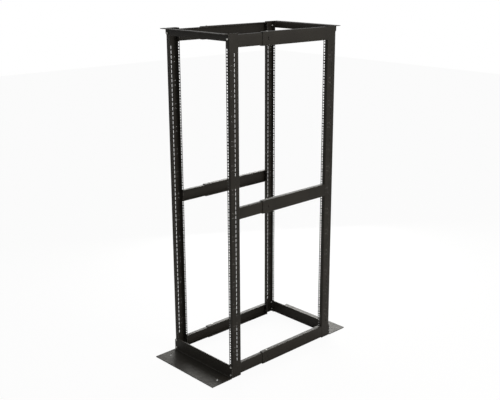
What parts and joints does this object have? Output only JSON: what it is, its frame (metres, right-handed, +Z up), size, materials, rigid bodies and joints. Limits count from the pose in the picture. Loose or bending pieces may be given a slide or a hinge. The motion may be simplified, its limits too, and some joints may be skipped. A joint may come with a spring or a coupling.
{
  "type": "four post open frame rack",
  "caption": "Open frame equipment rack: four punched channel posts, top and foot angles, and side rails that telescope to set the depth.",
  "frame": {"origin": "on the floor under the middle of the rack", "axes": "+X to the rack's right seen from the front, +Y from front to rear, +Z up"},
  "size_m": [0.5016, 1.0822, 1.8689],
  "materials": {
    "black_powder_coat": "satin black powder coat"
  },
  "bodies": {
    "front_frame": {"front_left_post": "black_powder_coat", "front_right_post": "black_powder_coat", "front_top_angle": "black_powder_coat", "front_base_angle": "black_powder_coat", "left_bottom_rail_front": "black_powder_coat", "left_middle_rail_front": "black_powder_coat", "left_top_rail_front": "black_powder_coat", "right_bottom_rail_front": "black_powder_coat", "right_middle_rail_front": "black_powder_coat", "right_top_rail_front": "black_powder_coat"},
    "rear_frame": {"rear_left_post": "black_powder_coat", "rear_right_post": "black_powder_coat", "rear_top_angle": "black_powder_coat", "rear_base_angle": "black_powder_coat", "left_bottom_rail_rear": "black_powder_coat", "left_middle_rail_rear": "black_powder_coat", "left_top_rail_rear": "black_powder_coat", "right_bottom_rail_rear": "black_powder_coat", "right_middle_rail_rear": "black_powder_coat", "right_top_rail_rear": "black_powder_coat"}
  },
  "joints": [
    {"name": "depth_slide", "type": "slide", "parent": "front_frame", "child": "rear_frame", "axis": [0, 1, 0], "range_m": [-0.16, 0.25]}
  ]
}
